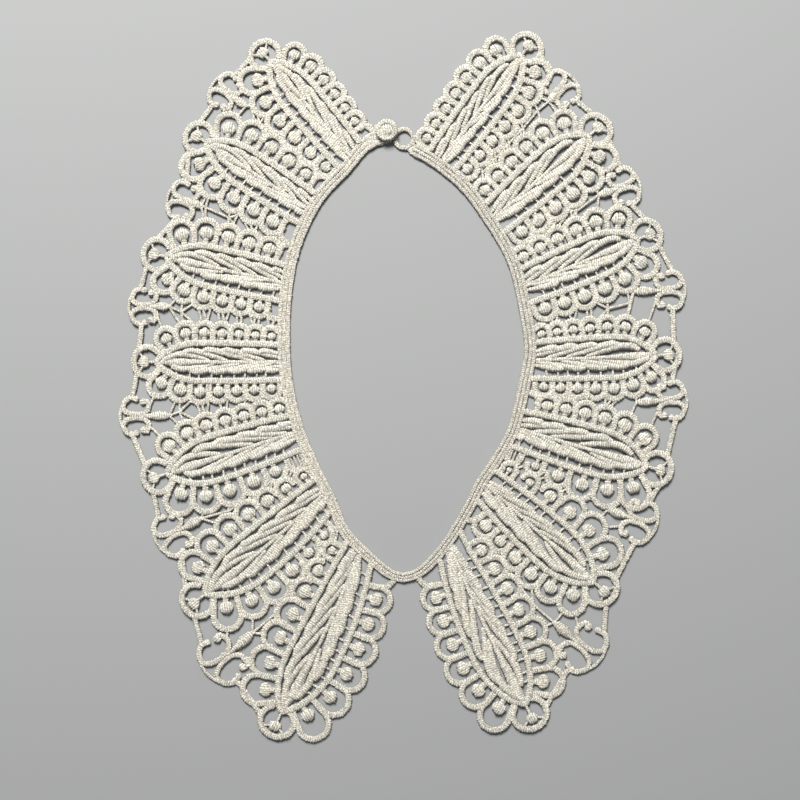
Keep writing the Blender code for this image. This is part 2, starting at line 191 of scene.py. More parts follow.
def smooth(points, pitch):
    """Catmull-Rom curve through points, resampled at an even pitch."""
    p = np.asarray(points, float)
    p = np.vstack([2 * p[0] - p[1], p, 2 * p[-1] - p[-2]])
    dense = []
    for a, b, c, d in zip(p, p[1:], p[2:], p[3:]):
        for t in np.linspace(0.0, 1.0, 24, endpoint=False):
            dense.append(0.5 * ((2 * b) + (c - a) * t
                                + (2 * a - 5 * b + 4 * c - d) * t ** 2
                                + (3 * b - a - 3 * c + d) * t ** 3))
    dense.append(p[-2])
    return resample(np.array(dense), pitch)


def resample(line, pitch, closed=False):
    line = np.asarray(line, float)
    if closed:
        line = np.vstack([line, line[:1]])
    seg = np.hypot(*np.diff(line[:, :2], axis=0).T)
    run = np.concatenate([[0.0], np.cumsum(seg)])
    count = max(3, int(round(run[-1] / pitch)))
    at = np.linspace(0.0, run[-1], count + 1)
    out = np.stack([np.interp(at, run, col) for col in line.T], axis=1)
    return out[:-1] if closed else out


def normals(line):
    """Unit normals of an open plane curve, to the left of its direction."""
    t = np.gradient(line[:, :2], axis=0)
    t /= np.hypot(t[:, 0], t[:, 1])[:, None]
    return np.stack([-t[:, 1], t[:, 0]], axis=1)


def bar_field(x, y, a, b, radius):
    """Signed distance to a round-ended bar from a to b."""
    ax, ay = a
    bx, by = b
    dx, dy = bx - ax, by - ay
    t = np.clip(((x - ax) * dx + (y - ay) * dy) / (dx * dx + dy * dy), 0, 1)
    return np.hypot(x - ax - t * dx, y - ay - t * dy) - radius


def polygon_field(x, y, corners):
    """Signed distance to a closed polygon, negative inside."""
    corners = np.asarray(corners, float)
    near = np.full(x.shape, 1e9)
    inside = np.zeros(x.shape, bool)
    for (ax, ay), (bx, by) in zip(corners, np.roll(corners, -1, axis=0)):
        near = np.minimum(near, bar_field(x, y, (ax, ay), (bx, by), 0.0))
        if ay != by:
            cross = (ay > y) != (by > y)
            inside ^= cross & (x < (bx - ax) * (y - ay) / (by - ay) + ax)
    return np.where(inside, -near, near)


# ------------------------------------------------------------- lace design
def neck_line(table):
    """Inner edge and width of the band at a 4 mm pitch, back to front."""
    return smooth(table, 4.0)


def seam_line(table, side):
    """The band's outer edge; side is -1 for the left half, +1 for the right."""
    line = neck_line(table)
    out = normals(line) * side
    return line[:, :2] + out * line[:, 2:3]


def leaf_frame(leaf):
    seat = np.array([leaf["seat_x"], leaf["seat_y"]])
    tip = np.array([leaf["tip_x"], leaf["tip_y"]])
    length = float(np.hypot(*(seat - tip)))
    along = (seat - tip) / length
    across = np.array([-along[1], along[0]])
    return tip, along, across, length


def leaf_half_width(leaf, s):
    """Half width of the leaf's outline at s, 0 at its tip and 1 at its root."""
    if s <= LEAF_PEAK:
        return leaf["half"] * math.sin(0.5 * math.pi * (s / LEAF_PEAK) ** 0.72)
    t = (s - LEAF_PEAK) / (1.0 - LEAF_PEAK)
    return leaf["half"] + (leaf["root"] - leaf["half"]) * t * t


def leaf_bow(leaf, s, side):
    """Sideways shift of the midrib at s, along the leaf's across vector."""
    return side * leaf["bow"] * 4.0 * s * (1.0 - s)


def ring_row(leaf, side, edge):
    """Centres and radii of the rings along one edge of a leaf ("back" or
    "front"), from its tip to its root."""
    tip, along, across, length = leaf_frame(leaf)
    hand = side if edge == "front" else -side
    count = leaf[edge]
    first = FIRST_RING[edge]
    steps = RING_SHRINK ** np.arange(count - 1)
    gaps = steps / steps.sum() * (length - LAST_RING - first)
    stations = np.concatenate([[first], first + np.cumsum(gaps)])
    found = []
    for n, station in enumerate(stations):
        gap = gaps[max(n - 1, 0)]
        s = station / length
        half = leaf_half_width(leaf, s) if n else 0.62 * leaf["half"]
        off = hand * (half + RING_REACH * gap) + leaf_bow(leaf, s, side)
        found.append((tip + along * station + across * off, RING_R * gap))
    return found


def volute_frame(volute):
    edge = np.array([volute["edge_x"], volute["edge_y"]])
    bud = np.array([volute["bud_x"], volute["bud_y"]])
    inward = (bud - edge) / np.hypot(*(bud - edge))
    return edge, bud, inward, np.array([-inward[1], inward[0]])


def band_polygon(neck_table, side):
    """The band and everything on its neck side, for one half."""
    seam = seam_line(neck_table, side)
    deep = side * -12.0
    return ([tuple(p) for p in seam]
            + [(deep, seam[-1][1]), (deep, seam[0][1])])


# --------------------------------------------------------------------- yarn
# Cross-sections: across the cord from -1 to 1, and height from 0 to 1.
SATIN = ((-0.70, 0.00), (-1.00, 0.34), (-0.85, 0.76), (-0.45, 1.00),
         (0.00, 0.88), (0.45, 1.00), (0.85, 0.76), (1.00, 0.34), (0.70, 0.00))
PADDED = ((-0.70, 0.00), (-1.00, 0.36), (-0.78, 0.76), (-0.30, 0.98),
          (0.30, 0.98), (0.78, 0.76), (1.00, 0.36), (0.70, 0.00))
THREAD = ((-0.60, 0.05), (-1.00, 0.50), (-0.60, 0.95), (0.60, 0.95),
          (1.00, 0.50), (0.60, 0.05))

chance = np.random.default_rng(11)


def lift(x, y):
    """How far the lace stands off the table, mm: nothing at the band, and a
    slow ripple of under a millimetre towards the scalloped edge."""
    out = np.clip((np.hypot(x / 52.0, (y - 12.0) / 98.0) - 1.0) / 0.8, 0.0, 1.0)
    ripple = (np.sin(0.083 * x + 0.041 * y + 0.6)
              * np.cos(0.067 * y - 0.052 * x + 1.9))
    return out * (0.30 + 0.30 * ripple)


class Yarn:
    """Closed tubes gathered into one mesh.  neck is the closed outline of
    the band and the neck opening, which the lace stays out of."""

    def __init__(self, neck=None):
        self.points, self.marks, self.quads, self.tris = [], [], [], []
        self.count = 0
        self.neck = neck

    def trim(self, path, reach):
        """The longest stretch of path that stays reach outside the neck."""
        line = resample(np.asarray(path, float), 0.4)
        if self.neck is None:
            return line
        clear = polygon_field(line[:, 0], line[:, 1], self.neck) > reach
        best, start = (0, 0), None
        for n, fine in enumerate(list(clear) + [False]):
            if fine and start is None:
                start = n
            elif not fine and start is not None:
                if n - start > best[1] - best[0]:
                    best = (start, n)
                start = None
        return line[best[0]:best[1]]

    def tube(self, path, width, height, base=0.0, section=SATIN, ends=(1, 1),
             pitch=STITCH, ridge=0.24, slant=0.45, step=None, closed=False):
        """A cord along path.  width, height and base are numbers, or rows of
        (share of the length, value).  ends says which ends are rounded."""
        step = step or pitch / 2
        if not closed:
            path = self.trim(path, -0.9)
            if len(path) < 4:
                return
        line = resample(np.asarray(path, float), step, closed=closed)
        n = len(line)
        if closed and n % 2:
            line = resample(np.asarray(path, float),
                            step * n / (n + 1.0), closed=True)
            n = len(line)
        if closed:
            t = np.roll(line, -1, axis=0) - np.roll(line, 1, axis=0)
        else:
            t = np.gradient(line, axis=0)
        t /= np.maximum(np.hypot(t[:, 0], t[:, 1]), 1e-9)[:, None]
        side = np.stack([-t[:, 1], t[:, 0]], axis=1)
        hop = np.hypot(*np.diff(line, axis=0).T)
        run = np.concatenate([[0.0], np.cumsum(hop)])
        share = run / run[-1]

        def along(value):
            if np.isscalar(value):
                return np.full(n, float(value))
            knots = np.array(value, float)
            return np.interp(share, knots[:, 0], knots[:, 1])

        w, h, z0 = along(width), along(height), along(base)
        swell = np.ones(n)
        if not closed:
            for flag, far in zip(ends, (run, run[-1] - run)):
                if flag:
                    d = np.clip(far / (w / 2), 0.0, 1.0)
                    swell *= np.sqrt(np.maximum(1 - (1 - d) ** 2, 0.05))
        high = (np.arange(n) % 2 == 0).astype(float)
        wob = 1 + 0.045 * chance.standard_normal(n)
        wob_z = 1 + 0.05 * chance.standard_normal(n)
        drift = 0.035 * chance.standard_normal(n)
        half = 0.5 * w * swell * (1 - ridge * 0.6 * (1 - high)) * wob
        tall = h * (0.25 + 0.75 * swell) * (1 - ridge * (1 - high)) * wob_z
        sec = np.array(section, float)
        m = len(sec)
        lat = sec[None, :, 0] * half[:, None] + (drift * w)[:, None]
        fore = -slant * np.abs(sec[None, :, 0]) * half[:, None]
        pos = (line[:, None, :] + side[:, None, :] * lat[..., None]
               + t[:, None, :] * fore[..., None])
        z = z0[:, None] + sec[None, :, 1] * tall[:, None]
        pts = np.concatenate([pos, z[..., None]], axis=2).reshape(-1, 3)
        tone = 0.5 + 0.5 * np.clip(0.4 * chance.standard_normal(n), -1, 1)
        mark = np.stack([np.repeat(high, m), np.repeat(run, m),
                         np.repeat(tone, m)], axis=1)
        ring = np.arange(n)[:, None] * m + np.arange(m)[None, :] + self.count
        nxt = np.roll(ring, -1, axis=1)
        a, b = (ring, np.roll(ring, -1, axis=0)) if closed else (ring[:-1],
                                                                 ring[1:])
        an, bn = (nxt, np.roll(nxt, -1, axis=0)) if closed else (nxt[:-1],
                                                                 nxt[1:])
        self.quads.append(np.stack([a, an, bn, b], axis=2).reshape(-1, 4))
        self.points.append(pts)
        self.marks.append(mark)
        self.count += len(pts)
        if not closed:
            for at, order in ((0, 1), (n - 1, -1)):
                hub = np.array([[*line[at], z0[at] + 0.5 * tall[at]]])
                self.points.append(hub)
                self.marks.append(np.array([[0.5, run[at], 0.5]]))
                rim = ring[at][::order]
                self.tris.append(np.stack(
                    [np.full(m, self.count), np.roll(rim, -1), rim], axis=1))
                self.count += 1

    def berry(self, centre, radius, height, base, direction):
        """A round padded dot, its stitches square to direction."""
        d = np.asarray(direction, float)
        d /= np.hypot(*d)
        c = np.asarray(centre, float)
        if self.neck is not None and polygon_field(
                c[:1], c[1:], self.neck)[0] < radius * 0.6:
            return False
        self.tube([c - d * radius, c, c + d * radius], 2 * radius, height,
                  base, section=PADDED, ridge=0.18, slant=0.0)
        return True

    def bride(self, a, b, width=BRIDE_W, base=0.35, height=BRIDE_T):
        """A thin twisted bar from a to b."""
        a, b = np.asarray(a, float), np.asarray(b, float)
        if np.hypot(*(b - a)) < 0.8:
            return
        self.tube([a, (a + b) / 2, b], width, height, base, section=THREAD,
                  ends=(0, 0), ridge=0.2, slant=0.0, pitch=0.8)

    def mesh(self, name, shift):
        pts = np.concatenate(self.points)
        quads = np.concatenate(self.quads)
        tris = (np.concatenate(self.tris) if self.tris
                else np.zeros((0, 3), int))
        marks = np.concatenate(self.marks)
        corners = np.concatenate([quads[:, [0, 1, 2]], quads[:, [0, 2, 3]],
                                  tris])
        p, q, r = (pts[corners[:, k]] for k in range(3))
        if np.einsum("ij,ij->i", p, np.cross(q, r)).sum() < 0:
            quads, tris = quads[:, ::-1], tris[:, ::-1]
        pts = pts.copy()
        pts[:, 2] += lift(pts[:, 0], pts[:, 1])
        pts[:, :2] += shift
        mesh = bpy.data.meshes.new(name)
        mesh.vertices.add(len(pts))
        mesh.vertices.foreach_set("co", (pts * MM).astype(np.float32).ravel())
        mesh.loops.add(quads.size + tris.size)
        mesh.loops.foreach_set("vertex_index", np.concatenate(
            [quads.ravel(), tris.ravel()]).astype(np.int32))
        mesh.polygons.add(len(quads) + len(tris))
        mesh.polygons.foreach_set("loop_start", np.concatenate(
            [np.arange(len(quads)) * 4,
             quads.size + np.arange(len(tris)) * 3]).astype(np.int32))
        mesh.update(calc_edges=True)
        mesh.shade_smooth()
        # stitch: 1 on a stitch's ridge, 0 in its groove; the cotton shader
        # paints shade into the grooves with it
        for label, column in (("stitch", 0), ("run", 1), ("tone", 2)):
            held = mesh.attributes.new(label, "FLOAT", "POINT")
            held.data.foreach_set("value",
                                  marks[:, column].astype(np.float32))
        return mesh

    def triangles(self):
        return (sum(len(q) for q in self.quads) * 2
                + sum(len(t) for t in self.tris))


# ------------------------------------------------------------------- motifs
def leaf_side(leaf, side, hand, pitch=0.4):
    """Centreline of the cord along one edge of a leaf, tip to root."""
    tip, along, across, length = leaf_frame(leaf)
    s = np.linspace(0.0, 1.16, int(1.16 * length / pitch))
    return np.array([tip + along * k * length + across *
                     (hand * leaf_half_width(leaf, min(k, 1.0))
                      + leaf_bow(leaf, min(k, 1.0), side)) for k in s])


def nearest(line, point):
    return line[np.argmin(np.hypot(*(line - point).T))]


def ring_list(leaf, side, edge):
    """The rings of one row: centre, radius, out of the leaf, and towards the
    root, with the leaf's edge that they stand on."""
    hand = side if edge == "front" else -side
    line = leaf_side(leaf, side, hand)
    tip, along, across, length = leaf_frame(leaf)
    row = ring_row(leaf, side, edge)
    found = []
    for n, (centre, radius) in enumerate(row):
        f = n / (len(row) - 1.0)
        foot = nearest(line, centre)
        out = (centre - foot) / np.hypot(*(centre - foot))
        centre = centre + out * radius * (0.10 - 0.16 * f)
        down = np.array([-out[1], out[0]])
        if down @ along < 0:
            down = -down
        found.append({"centre": centre, "radius": radius, "out": out,
                      "down": down, "line": line, "last": n == len(row) - 1,
                      "crest": centre + out * radius})
    return found


def part_rings(rings):
    """Rings of neighbouring leaves that would lie on each other give way
    until they touch."""
    for here, there in zip(rings, rings[1:]):
        for _ in range(6):
            for p in here["front"]:
                for q in there["back"]:
                    d = p["centre"] - q["centre"]
                    gap = np.hypot(*d)
                    over = p["radius"] + q["radius"] - gap
                    if over <= 0.0:
                        continue
                    for ring in (p, q):
                        ring["radius"] = max(2.9, ring["radius"]
                                             - 0.22 * over)
                        ring["centre"] = (ring["centre"] - ring["out"]
                                          * min(0.22 * over, 0.5))
                        ring["crest"] = (ring["centre"] + ring["out"]
                                         * ring["radius"])


def draw_ring(yarn, ring, base):
    c, r, out, down = (ring[k] for k in ("centre", "radius", "out", "down"))
    start = c - down * r
    path = [nearest(ring["line"], start - out * 1.5), start]
    for a in np.linspace(math.pi, 0.0, 15)[1:]:
        path.append(c + r * (math.cos(a) * down + math.sin(a) * out))
    end = path[-1]
    path.append(nearest(ring["line"], end - out * 1.5) if ring["last"]
                else end - out * 1.2 + down * 0.1)
    yarn.tube(resample(path, 0.5), RING_W, 1.25, base, ends=(0, 0))


def draw_berry(yarn, ring):
    """A berry close to the leaf's edge, on a short thick tie, so that the hole
    shows as a crescent beyond it."""
    c, r, out, down = (ring[k] for k in ("centre", "radius", "out", "down"))
    radius = min(2.9, (r - RING_W / 2) * 0.88)
    foot = nearest(ring["line"], c)
    far = (c - foot) @ out
    at = foot + out * min(far - 0.04 * r, OUTLINE_W / 2 + 1.0 + radius)
    if not yarn.berry(at, radius, 1.75, 0.15, down):
        return
    start = at - out * 0.5 * radius
    foot = nearest(ring["line"], at)
    yarn.tube([start, (start + foot) / 2, foot], 0.95 * radius, 1.15, 0.15,
              section=PADDED, ends=(0, 0), ridge=0.2, slant=0.0)


def draw_bars(yarn, ring):
    """Three bars across a ring that holds no berry."""
    c, r, out, down = (ring[k] for k in ("centre", "radius", "out", "down"))
    for k in (-1.45, 0.0, 1.45):
        a = c + down * k + out * (r - 0.4)
        yarn.bride(a, nearest(ring["line"], a - out * 2 * r), 0.85, 0.3, 0.8)


def draw_leaf(yarn, leaf, side, open_hand):
    """Outline cords, pods and spine of one leaf.  open_hand is the edge with
    an open channel beside it."""
    tip, along, across, length = leaf_frame(leaf)
    point = tip - along * 0.6

    def at(far, off):
        s = far / length
        return (tip + along * far
                + across * (off + leaf_bow(leaf, min(max(s, 0), 1), side)))

    for hand in (-1, 1):
        line = leaf_side(leaf, side, hand)
        line = np.vstack([[point], line[3:]])
        yarn.tube(line, ((0, 2.4), (0.06, OUTLINE_W + 0.3), (0.2, OUTLINE_W),
                         (1, OUTLINE_W)), 1.55, 0.12 + 0.01 * hand,
                  ends=(1, 0))
    wide = POD_W * leaf["half"]
    long = POD_LENGTH * leaf["half"]
    for hand in (-1, 1):
        far = 2.2 if hand > 0 else 2.2 + 0.45 * POD_PITCH * leaf["half"]
        channel = GUTTER * leaf["half"] if hand == open_hand else 0.1
        while far < length - 4.0:
            play = 1.0 + 0.10 * chance.uniform(-1.0, 1.0)
            root = far + long * play
            ends = []
            for t, share in ((0.0, 0.96), (0.16, 1.0), (0.34, 0.88),
                             (0.55, 0.66), (0.78, 0.40), (1.0, 0.14)):
                run = far + (root - far) * t
                half = leaf_half_width(leaf, min(run / length, 1.0))
                reach = (half - OUTLINE_W / 2 - wide * 0.46
                         - channel * min(1.0, run / 12.0))
                ends.append(at(run, hand * max(reach * share, 0.5)))
            yarn.tube(smooth(ends, 0.5),
                      ((0, wide * 0.6), (0.14, wide * play),
                       (0.55, wide * 0.96), (1.0, 0.55 * wide)),
                      ((0, 1.3), (0.3, 1.75), (1, 1.2)),
                      ((0, 0.6), (0.5, 0.25), (1, 0.0)), section=PADDED,
                      ends=(1, 1), ridge=0.26, slant=0.3)
            far += POD_PITCH * leaf["half"] * (1 + 0.08 * chance.uniform(-1, 1))
    yarn.tube(smooth((at(1.2, 0), at(length * 0.2, 0), at(length * 0.46, 0)),
                     0.5),
              ((0, 2.4), (0.3, 0.50 * leaf["half"]),
               (0.6, 0.36 * leaf["half"]), (1, 1.5)),
              1.6, 0.15, section=PADDED, ridge=0.22)
    yarn.tube(smooth((at(length * 0.4, 0), at(length * 0.7, 0),
                      at(length + 6, 0)), 0.5),
              ((0, 1.8), (1, 2.2)), 1.1, 0.15, section=PADDED)
    # tiny bars across the open channel
    far = 8.0
    while far < length - 3.0:
        half = leaf_half_width(leaf, far / length)
        yarn.bride(at(far, open_hand * (half - 0.8)),
                   at(far + 0.4, open_hand * (half - OUTLINE_W / 2 - 3.0)),
                   0.95, 0.4)
        far += 3.6 + 2.2 * chance.random()


def tip_loop(leaf):
    """Centre and half sizes of the loop round a leaf's tip."""
    tip, along, across, length = leaf_frame(leaf)
    swell = (leaf["half"] / 8.0) ** 0.5
    return tip - along * TIP_OUT * swell, TIP_R * swell, TIP_R * swell * 1.12


def draw_tip(yarn, leaf):
    tip, along, across, length = leaf_frame(leaf)
    centre, a, b = tip_loop(leaf)
    path = [centre - along * a * math.cos(t) + across * b * math.sin(t)
            for t in np.linspace(-2.62, 2.62, 41)]
    yarn.tube(path, RING_W, 1.3, 0.06, ends=(0, 0))
    radius = 2.5
    at = centre - along * (a - RING_W / 2 - 0.45 - radius)
    yarn.berry(at, radius, 1.6, 0.15, across)
    yarn.bride(at, tip - along * 0.2, 1.3, 0.3, 0.9)
    for hand in (-1, 1):
        yarn.bride(at + across * hand * 1.2,
                   centre - along * a * 0.66 + across * hand * b * 0.72, 1.0)


SCROLL_COLUMNS = ("inward", "sideways")     # mm, for a volute of size 1.05
SCROLL = ((7.6, 7.3), (5.0, 7.6), (3.0, 6.1), (2.2, 3.8), (3.2, 2.0),
          (5.4, 1.0), (8.1, 0.75), (10.9, 1.25), (12.5, 2.9), (12.6, 5.0),
          (11.7, 6.5), (10.5, 6.2))
LINK = ((4.4, 7.4), (6.2, 8.9))


def draw_volute(yarn, volute, tips):
    """Two scrolls back to back, their stems joined in a bud, the outer arc
    and the links to the two tip loops beside them."""
    edge, bud, inward, aside = volute_frame(volute)
    scale = volute["size"] / 1.05
    depth = float(np.hypot(*(bud - edge)))

    def at(u, v):
        return edge + (inward * u + aside * v) * scale

    hooks = []
    for hand in (-1, 1):
        path = smooth([at(u, v * hand) for u, v in SCROLL], 0.35)
        yarn.tube(path, SCROLL_W, 1.15, 0.05 + 0.02 * hand, ends=(1, 1))
        yarn.berry(at(10.5, 6.0 * hand), 1.5 * scale ** 0.5, 1.35, 0.1,
                   aside)
        yarn.berry(at(7.6, 7.2 * hand), 1.35, 1.2, 0.1, aside)
        loop = min(tips, key=lambda tip: np.hypot(*(tip[0] - at(6, 11 * hand))))
        links = [at(u, v * hand) for u, v in LINK]
        centre, a, b = loop
        d = links[-1] - centre
        d /= np.hypot(*d)
        # meet the tip loop on its outer side, as a tangent
        out = edge - bud
        out /= np.hypot(*out)
        d = d + 0.55 * out
        d /= np.hypot(*d)
        links.append(centre + d * (a + 0.2))
        yarn.tube(smooth(links, 0.35), LINK_W, 1.1, 0.03, ends=(1, 1))
        hooks.append(at(13.2, 4.2 * hand))
    arc = smooth([at(2.3, -5.2), at(1.2, -2.8), at(0.8, 0.0),
                  at(1.2, 2.8), at(2.3, 5.2)], 0.35)
    yarn.tube(arc, 1.4, 1.05, 0.02, ends=(1, 1))
    stem = edge + inward * 9.6 * scale
    fat = 4.3 * scale ** 0.6
    yarn.tube(smooth([stem, (stem + bud) / 2, bud], 0.35),
              ((0, 1.3), (0.3, 2.2), (0.68, fat), (0.9, fat * 0.72),
               (1, fat * 0.35)), ((0, 1.1), (0.6, 1.75), (1, 1.2)), 0.12,
              section=PADDED)
    return bud, hooks, inward


def draw_net(yarn, front, back, bud, hooks, inward):
    """Brides between the facing ring rows of two neighbouring leaves."""
    rings = front + back
    for hook in hooks:
        ring = min(rings, key=lambda r: abs(np.hypot(*(r["centre"] - hook))
                                            - r["radius"]))
        d = ring["centre"] - hook
        reach = np.hypot(*d)
        if reach > ring["radius"] + 0.3:
            yarn.bride(hook, hook + d / reach * (reach - ring["radius"]))

    def tie(a, b):
        """Bride from a towards ring b, as far as its cord."""
        d = b["centre"] - a
        reach = np.hypot(*d)
        if reach > b["radius"]:
            yarn.bride(a, a + d / reach * (reach - b["radius"]))

    # two arms from the bud to the ring on each side of it
    for row in (front, back):
        beside = sorted(row, key=lambda r: np.hypot(*(r["centre"] - bud)))[:1]
        for ring in beside:
            tie(bud - inward * 0.8, ring)
    inner = [(p, q) for p, q in zip(front, back)
             if ((p["crest"] + q["crest"]) / 2 - bud) @ inward > 1.0]
    hub = None
    for p, q in inner:
        gap = np.hypot(*(p["crest"] - q["crest"])) - RING_W
        middle = (p["crest"] + q["crest"]) / 2
        if gap > 4.2:
            tie(middle, p)
            tie(middle, q)
            if hub is None:
                yarn.bride(bud - inward * 0.6, middle)
            else:
                yarn.bride(hub, middle)
            hub = middle
            continue
        if hub is not None:
            tie(hub, p)
            tie(hub, q)
            hub = None
        if gap > 0.4:
            across = (q["crest"] - p["crest"])
            across = across / np.hypot(*across)
            along = np.array([-across[1], across[0]])
            for k in ((-0.9, 0.9) if gap > 1.2 else (0.0,)):
                yarn.bride(p["crest"] + along * k, q["crest"] + along * k)
    for (p, q), (r, t) in zip(inner, inner[1:]):
        valley = (p["centre"] + r["centre"]) / 2 + p["out"] * p["radius"] * 0.6
        if np.hypot(*(valley - q["crest"])) < 8.0:
            tie(valley, t if np.hypot(*(valley - t["centre"]))
                < np.hypot(*(valley - q["centre"])) else q)


# --------------------------------------------------------------- the pieces
def band_rows(yarn):
    """Rows of satin stitch along the neckband; gives its plan area, mm2."""
    lines = []
    for table, side in ((NECK_LEFT, -1), (NECK_RIGHT, 1)):
        line = smooth(table, 1.5)
        out = normals(line) * side
        out[-1] = (0.0, -1.0)
        part = np.hstack([line, out])
        lines.append(part if side < 0 else part[-2::-1])
    strip = np.vstack(lines)
    width = strip[:, 2:3]
    for share, wide, tall, base in ((0.17, 0.37, 1.5, 0.12),
                                    (0.50, 0.37, 1.35, 0.10),
                                    (0.82, 0.37, 1.4, 0.08)):
        path = strip[:, :2] + strip[:, 3:5] * width * share
        seg = np.concatenate([[0.0], np.cumsum(np.hypot(
            *np.diff(path, axis=0).T))])
        rows_of = list(zip(seg / seg[-1], strip[:, 2] * wide))
        yarn.tube(path, rows_of, tall, base, ends=(1, 1), slant=0.6,
                  ridge=0.24)
    step = np.hypot(*np.diff(strip[:, :2], axis=0).T)
    return float((step * (strip[1:, 2] + strip[:-1, 2]) / 2).sum())


def fastening():
    knob = Yarn()
    c = np.array(BUTTON_AT)
    ring = [c + 3.45 * np.array([math.cos(a), math.sin(a)])
            for a in np.linspace(0, 2 * math.pi, 72, endpoint=False)]
    knob.tube(ring, 2.5, 1.75, 2.1, closed=True)
    knob.berry(c, 3.0, 1.8, 2.1, (1, 0.2))
    # the shank that holds the button to the band
    knob.tube([c + (-1.3, 0), c, c + (1.3, 0)], 2.6, 1.0, 1.45,
              section=PADDED)
    loop = Yarn()
    c = np.array(LOOP_AT)
    ring = [c + LOOP_R * np.array([math.cos(a), math.sin(a)])
            for a in np.linspace(0, 2 * math.pi, 72, endpoint=False)]
    loop.tube(ring, LOOP_W, 1.3, 0.1, closed=True, pitch=1.1, ridge=0.24)
    # stitched down to the end of the band
    for dx in (0.0, 1.2, 2.4):
        loop.tube([c + (1.2 + 0.8 * dx, -3.0 + 0.5 * dx),
                   c + (3.6 + 0.9 * dx, -6.6 + 0.9 * dx)], 2.0, 1.1, 0.1,
                  pitch=1.0)
    return knob, loop


def tab(yarn):
    """The solid stitched tab under the button and beside the first leaf."""
    c = np.array(BUTTON_AT)
    for dx, dy, run, wide in ((-10.0, -5.4, 9.5, 3.2), (-8.4, -3.2, 8.0, 3.0),
                              (-7.0, -0.9, 6.4, 2.8), (-5.6, 1.2, 4.6, 2.4)):
        start = c + (dx, dy)
        yarn.tube([start, start + (run * 0.5, 0.7), start + (run, 0.9)], wide,
                  1.3, 0.15, section=PADDED, ridge=0.22)


# ---------------------------------------------------------------- materials
def cotton(name, pale, warm):
    """Matt cream cotton thread: tone from stitch to stitch and from place to
    place, painted shade between the stitches, fine fibre in the bump."""
    mat = bpy.data.materials.new(name)
    mat.use_nodes = True
    tree = mat.node_tree
    nodes, links = tree.nodes, tree.links
    shader = nodes["Principled BSDF"]

    def node(kind, **values):
        made = nodes.new(kind)
        for key, value in values.items():
            setattr(made, key, value)
        return made

    where = node("ShaderNodeTexCoord")
    patch = node("ShaderNodeTexNoise")
    patch.inputs["Scale"].default_value = 55.0
    patch.inputs["Detail"].default_value = 3.0
    fibre = node("ShaderNodeTexNoise")
    fibre.inputs["Scale"].default_value = 1450.0
    fibre.inputs["Detail"].default_value = 2.0
    for made in (patch, fibre):
        links.new(where.outputs["Object"], made.inputs["Vector"])
    stitch = node("ShaderNodeAttribute", attribute_name="stitch")
    tone = node("ShaderNodeAttribute", attribute_name="tone")
    run = node("ShaderNodeAttribute", attribute_name="run")

    tint = node("ShaderNodeMix", data_type="RGBA")
    tint.inputs["A"].default_value = (*pale, 1.0)
    tint.inputs["B"].default_value = (*warm, 1.0)
    spread = node("ShaderNodeMapRange")
    spread.inputs["From Min"].default_value = 0.35
    spread.inputs["From Max"].default_value = 0.65
    links.new(patch.outputs["Fac"], spread.inputs["Value"])
    links.new(spread.outputs["Result"], tint.inputs["Factor"])

    # painted shade, stitch by stitch: darker in the groove than on the ridge
    depth = node("ShaderNodeMapRange")
    depth.inputs["To Min"].default_value = 0.50
    depth.inputs["To Max"].default_value = 1.06
    links.new(stitch.outputs["Fac"], depth.inputs["Value"])
    vary = node("ShaderNodeMapRange")
    vary.inputs["To Min"].default_value = 0.88
    vary.inputs["To Max"].default_value = 1.16
    links.new(tone.outputs["Fac"], vary.inputs["Value"])
    fuzz = node("ShaderNodeMapRange")
    fuzz.inputs["From Min"].default_value = 0.41
    fuzz.inputs["From Max"].default_value = 0.59
    fuzz.inputs["To Min"].default_value = 0.60
    fuzz.inputs["To Max"].default_value = 1.20
    links.new(fibre.outputs["Fac"], fuzz.inputs["Value"])
    one = node("ShaderNodeMath", operation="MULTIPLY")
    links.new(depth.outputs["Result"], one.inputs[0])
    links.new(vary.outputs["Result"], one.inputs[1])
    two = node("ShaderNodeMath", operation="MULTIPLY")
    links.new(one.outputs[0], two.inputs[0])
    links.new(fuzz.outputs["Result"], two.inputs[1])
    shade = node("ShaderNodeVectorMath", operation="SCALE")
    links.new(tint.outputs["Result"], shade.inputs[0])
    links.new(two.outputs[0], shade.inputs["Scale"])
    links.new(shade.outputs["Vector"], shader.inputs["Base Color"])

    rough = node("ShaderNodeMapRange")
    rough.inputs["To Min"].default_value = 0.72
    rough.inputs["To Max"].default_value = 0.95
    links.new(fibre.outputs["Fac"], rough.inputs["Value"])
    links.new(rough.outputs["Result"], shader.inputs["Roughness"])

    # threads lie across the cord, several to a stitch
    wave = node("ShaderNodeMath", operation="MULTIPLY")
    wave.inputs[1].default_value = 2 * math.pi / 0.21
    links.new(run.outputs["Fac"], wave.inputs[0])
    sine = node("ShaderNodeMath", operation="SINE")
    links.new(wave.outputs[0], sine.inputs[0])
    half = node("ShaderNodeMath", operation="MULTIPLY")
    half.inputs[1].default_value = 0.35
    links.new(sine.outputs[0], half.inputs[0])
    relief = node("ShaderNodeMath", operation="ADD")
    links.new(half.outputs[0], relief.inputs[0])
    links.new(fibre.outputs["Fac"], relief.inputs[1])
    bump = node("ShaderNodeBump")
    bump.inputs["Strength"].default_value = 0.9
    bump.inputs["Distance"].default_value = 0.00035
    links.new(relief.outputs[0], bump.inputs["Height"])
    links.new(bump.outputs["Normal"], shader.inputs["Normal"])

    shader.inputs["Sheen Weight"].default_value = 0.25
    shader.inputs["Sheen Roughness"].default_value = 0.5
    shader.inputs["Specular IOR Level"].default_value = 0.3
    return mat


def put(name, yarn, shift, material, slot, *stands_for):
    piece = bpy.data.objects.new(name, yarn.mesh(name, shift))
    bpy.context.scene.collection.objects.link(piece)
    piece.data.materials.append(material)
    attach(piece, "root")
    if stands_for:
        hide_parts(*stands_for)
    return piece


